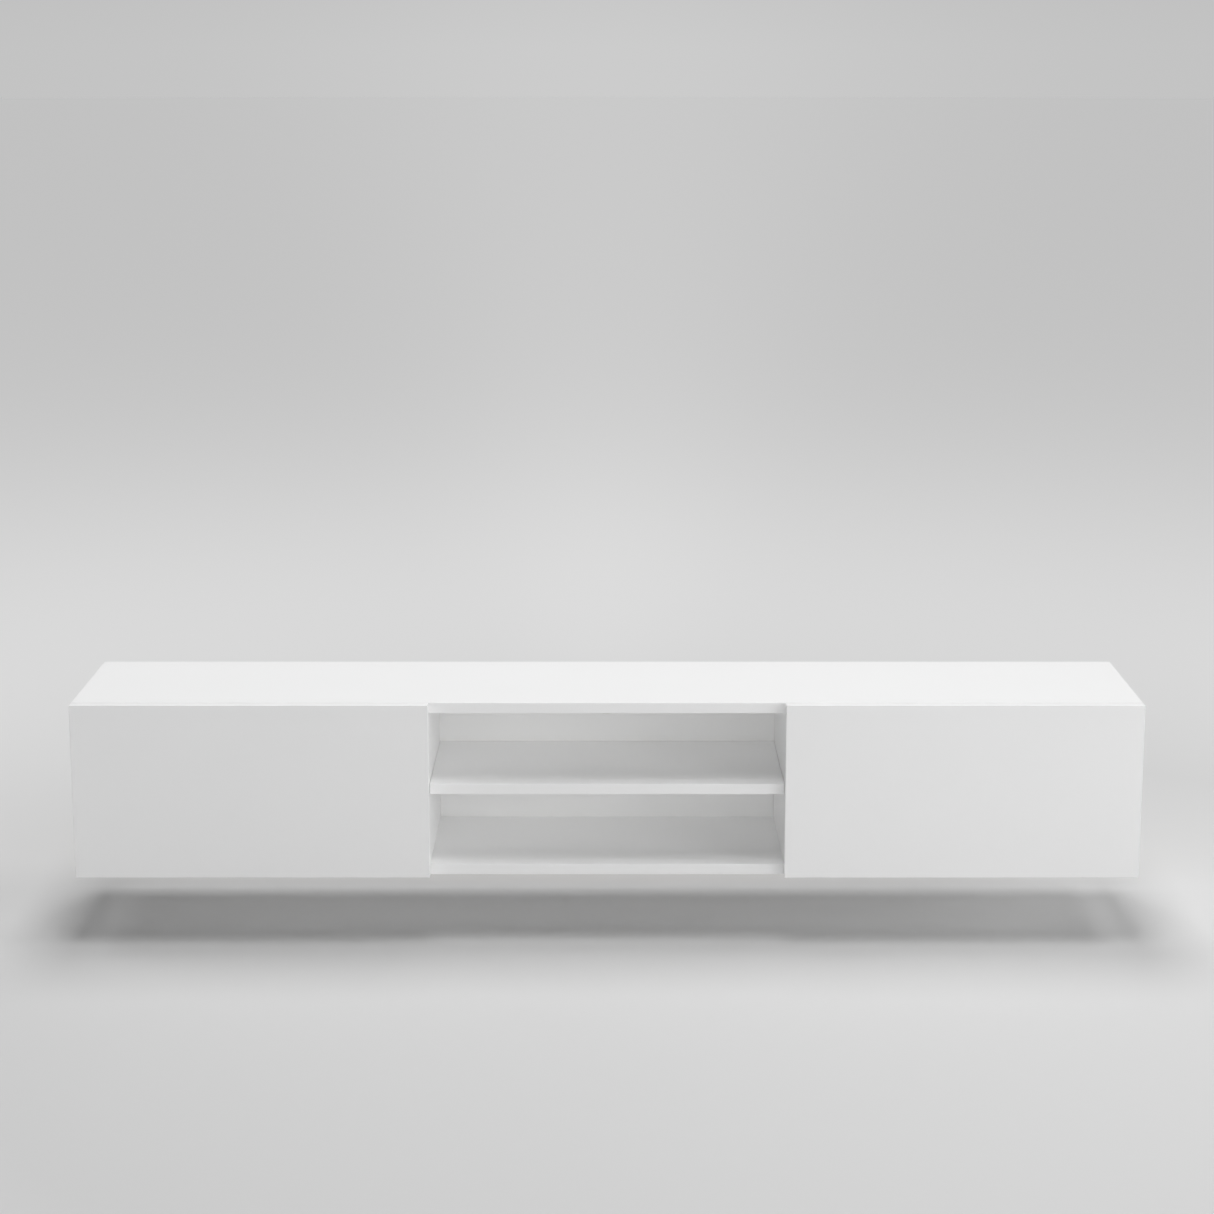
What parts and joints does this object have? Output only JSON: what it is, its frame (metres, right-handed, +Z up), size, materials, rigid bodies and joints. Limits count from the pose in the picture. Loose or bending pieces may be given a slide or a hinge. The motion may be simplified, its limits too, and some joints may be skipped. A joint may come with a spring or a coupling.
{
  "type": "wall-hung tv stand with doors",
  "caption": "Long low wall-hung TV unit in white board: side cabinets with handleless drop-down flaps beside an open centre with a shelf.",
  "frame": {"origin": "middle of the top panel's rear edge, in the wall plane", "axes": "+X along the unit, +Y into the wall (the front faces -Y), +Z up"},
  "size_m": [1.8, 0.33, 0.3],
  "materials": {
    "white_board": "satin",
    "back_board": "satin",
    "white_plastic": "satin",
    "grey_plastic": "satin",
    "nickel_steel": "satin",
    "zinc_steel": "satin"
  },
  "bodies": {
    "carcass": {"top_panel": "white_board", "bottom_panel": "white_board", "left_end_panel": "white_board", "right_end_panel": "white_board", "left_partition": "white_board", "right_partition": "white_board", "centre_shelf": "white_board", "left_back_panel": "back_board", "centre_back_panel": "back_board", "right_back_panel": "back_board", "cable_grommet": "white_plastic", "shelf_pin_1": "nickel_steel", "shelf_pin_2": "nickel_steel", "shelf_pin_3": "nickel_steel", "shelf_pin_4": "nickel_steel", "left_wall_rail": "zinc_steel", "right_wall_rail": "zinc_steel", "hanger_1_body": "zinc_steel", "hanger_1_hook": "zinc_steel", "hanger_1_cover": "white_plastic", "hanger_2_body": "zinc_steel", "hanger_2_hook": "zinc_steel", "hanger_2_cover": "white_plastic", "hanger_3_body": "zinc_steel", "hanger_3_hook": "zinc_steel", "hanger_3_cover": "white_plastic", "hanger_4_body": "zinc_steel", "hanger_4_hook": "zinc_steel", "hanger_4_cover": "white_plastic", "left_hinge_1_arm": "nickel_steel", "left_hinge_1_plate": "nickel_steel", "left_hinge_2_arm": "nickel_steel", "left_hinge_2_plate": "nickel_steel", "left_stay_housing": "grey_plastic", "left_latch_body": "grey_plastic", "right_hinge_1_arm": "nickel_steel", "right_hinge_1_plate": "nickel_steel", "right_hinge_2_arm": "nickel_steel", "right_hinge_2_plate": "nickel_steel", "right_stay_housing": "grey_plastic", "right_latch_body": "grey_plastic"},
    "left_flap": {"left_flap": "white_board", "left_hinge_1_cup": "nickel_steel", "left_hinge_2_cup": "nickel_steel", "left_stay_bracket": "nickel_steel", "left_strike_plate": "zinc_steel"},
    "left_stay_arm": {"left_stay_arm": "nickel_steel"},
    "left_stay_link": {"left_stay_link": "nickel_steel"},
    "left_latch_plunger": {"left_latch_plunger": "white_plastic"},
    "right_flap": {"right_flap": "white_board", "right_hinge_1_cup": "nickel_steel", "right_hinge_2_cup": "nickel_steel", "right_stay_bracket": "nickel_steel", "right_strike_plate": "zinc_steel"},
    "right_stay_arm": {"right_stay_arm": "nickel_steel"},
    "right_stay_link": {"right_stay_link": "nickel_steel"},
    "right_latch_plunger": {"right_latch_plunger": "white_plastic"}
  },
  "joints": [
    {"name": "left_flap_hinge", "type": "hinge", "parent": "carcass", "child": "left_flap", "pos_m": [-0.6, -0.324, -0.285], "axis": [1, 0, 0], "range_deg": [0, 90]},
    {"name": "left_stay_arm_pivot", "type": "hinge", "parent": "carcass", "child": "left_stay_arm", "pos_m": [-0.8724, -0.284, -0.225], "axis": [1, 0, 0], "range_deg": [0, 90]},
    {"name": "left_stay_link_pivot", "type": "hinge", "parent": "left_stay_arm", "child": "left_stay_link", "pos_m": [-0.8701, -0.262, -0.105], "axis": [1, 0, 0], "range_deg": [-90, 0]},
    {"name": "left_latch_plunger_slide", "type": "slide", "parent": "carcass", "child": "left_latch_plunger", "axis": [0, 1, 0], "range_m": [0, 0.003], "stiffness_N_per_m": 1000, "springref_m": -0.002},
    {"name": "right_flap_hinge", "type": "hinge", "parent": "carcass", "child": "right_flap", "pos_m": [0.6, -0.324, -0.285], "axis": [1, 0, 0], "range_deg": [0, 90]},
    {"name": "right_stay_arm_pivot", "type": "hinge", "parent": "carcass", "child": "right_stay_arm", "pos_m": [0.8724, -0.284, -0.225], "axis": [1, 0, 0], "range_deg": [0, 90]},
    {"name": "right_stay_link_pivot", "type": "hinge", "parent": "right_stay_arm", "child": "right_stay_link", "pos_m": [0.8701, -0.262, -0.105], "axis": [1, 0, 0], "range_deg": [-90, 0]},
    {"name": "right_latch_plunger_slide", "type": "slide", "parent": "carcass", "child": "right_latch_plunger", "axis": [0, 1, 0], "range_m": [0, 0.003], "stiffness_N_per_m": 1000, "springref_m": -0.002}
  ],
  "couplings": [
    {"joint": "left_stay_arm_pivot", "follows": "left_flap_hinge", "ratio": 1},
    {"joint": "left_stay_link_pivot", "follows": "left_flap_hinge", "ratio": -1},
    {"joint": "right_stay_arm_pivot", "follows": "right_flap_hinge", "ratio": 1},
    {"joint": "right_stay_link_pivot", "follows": "right_flap_hinge", "ratio": -1}
  ]
}
